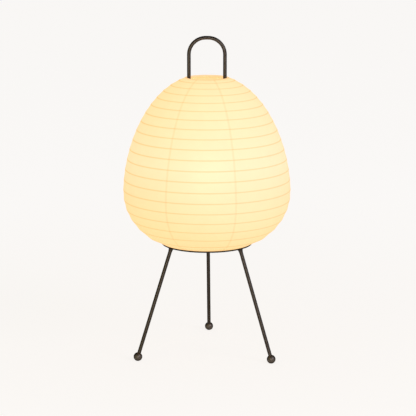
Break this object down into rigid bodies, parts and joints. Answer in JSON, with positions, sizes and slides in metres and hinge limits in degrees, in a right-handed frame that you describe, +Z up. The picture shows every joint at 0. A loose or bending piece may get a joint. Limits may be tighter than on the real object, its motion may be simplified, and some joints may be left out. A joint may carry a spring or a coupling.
{
  "type": "paper lantern lamp",
  "caption": "Egg-shaped paper shade on bamboo hoops, stretched by a bent wire with a carrying loop, on a flat ring with slanting rod legs and ball feet.",
  "frame": {"origin": "on the ground straight below the shade's axis, in the middle of the bounding box's foot", "axes": "+Z up along the shade's axis, -Y to the front, +X to the right of a viewer in front; the carrying loop lies in the XZ plane"},
  "size_m": [0.2299, 0.2292, 0.4414],
  "materials": {
    "shade_paper": "matte",
    "bamboo": "matte",
    "dark_rod": "satin",
    "dark_ball": "satin",
    "dark_ring": "satin",
    "zinc_steel": "satin",
    "brass": "satin",
    "black_moulding": "matte",
    "white_ceramic": "matte",
    "clear_glass": "gloss",
    "bulb_cap_metal": "satin",
    "cap_insulator": "gloss",
    "lit_filament": "matte"
  },
  "bodies": {
    "stand": {"base_ring": "dark_ring", "holder_bar": "dark_ring", "leg_rear": "dark_rod", "leg_left": "dark_rod", "leg_right": "dark_rod", "leg_collar_rear": "dark_rod", "leg_collar_left": "dark_rod", "leg_collar_right": "dark_rod", "ball_foot_rear": "dark_ball", "ball_foot_left": "dark_ball", "ball_foot_right": "dark_ball", "stretcher_handle": "dark_rod", "stretcher_socket_left": "dark_rod", "stretcher_socket_right": "dark_rod", "threaded_nipple": "brass", "nipple_washer": "zinc_steel", "nipple_nut": "brass", "holder_cap": "black_moulding", "holder_skirt": "black_moulding", "ceramic_insert": "white_ceramic", "terminal_screws": "brass", "screw_shell": "brass", "centre_contact": "brass"},
    "shade": {"paper_gore_1": "shade_paper", "paper_gore_2": "shade_paper", "paper_gore_3": "shade_paper", "paper_gore_4": "shade_paper", "paper_gore_5": "shade_paper", "paper_gore_6": "shade_paper", "bamboo_hoop_1": "bamboo", "bamboo_hoop_2": "bamboo", "bamboo_hoop_3": "bamboo", "bamboo_hoop_4": "bamboo", "bamboo_hoop_5": "bamboo", "bamboo_hoop_6": "bamboo", "bamboo_hoop_7": "bamboo", "bamboo_hoop_8": "bamboo", "bamboo_hoop_9": "bamboo", "bamboo_hoop_10": "bamboo", "bamboo_hoop_11": "bamboo", "bamboo_hoop_12": "bamboo", "bamboo_hoop_13": "bamboo", "bamboo_hoop_14": "bamboo", "bamboo_hoop_15": "bamboo", "bamboo_hoop_16": "bamboo", "bamboo_hoop_17": "bamboo", "bamboo_hoop_18": "bamboo", "bamboo_hoop_19": "bamboo", "top_hoop": "bamboo", "bottom_hoop": "bamboo"},
    "bulb": {"bulb_glass": "clear_glass", "bulb_cap": "bulb_cap_metal", "bulb_insulator": "cap_insulator", "bulb_tip": "brass", "bulb_stem": "clear_glass", "bulb_filaments": "lit_filament"}
  },
  "joints": [
    {"name": "shade_lift", "type": "slide", "parent": "stand", "child": "shade", "axis": [0, 0, 1], "range_m": [0, 0.3]},
    {"name": "bulb_out", "type": "slide", "parent": "stand", "child": "bulb", "axis": [0, 0, 1], "range_m": [0, 0.03]}
  ]
}
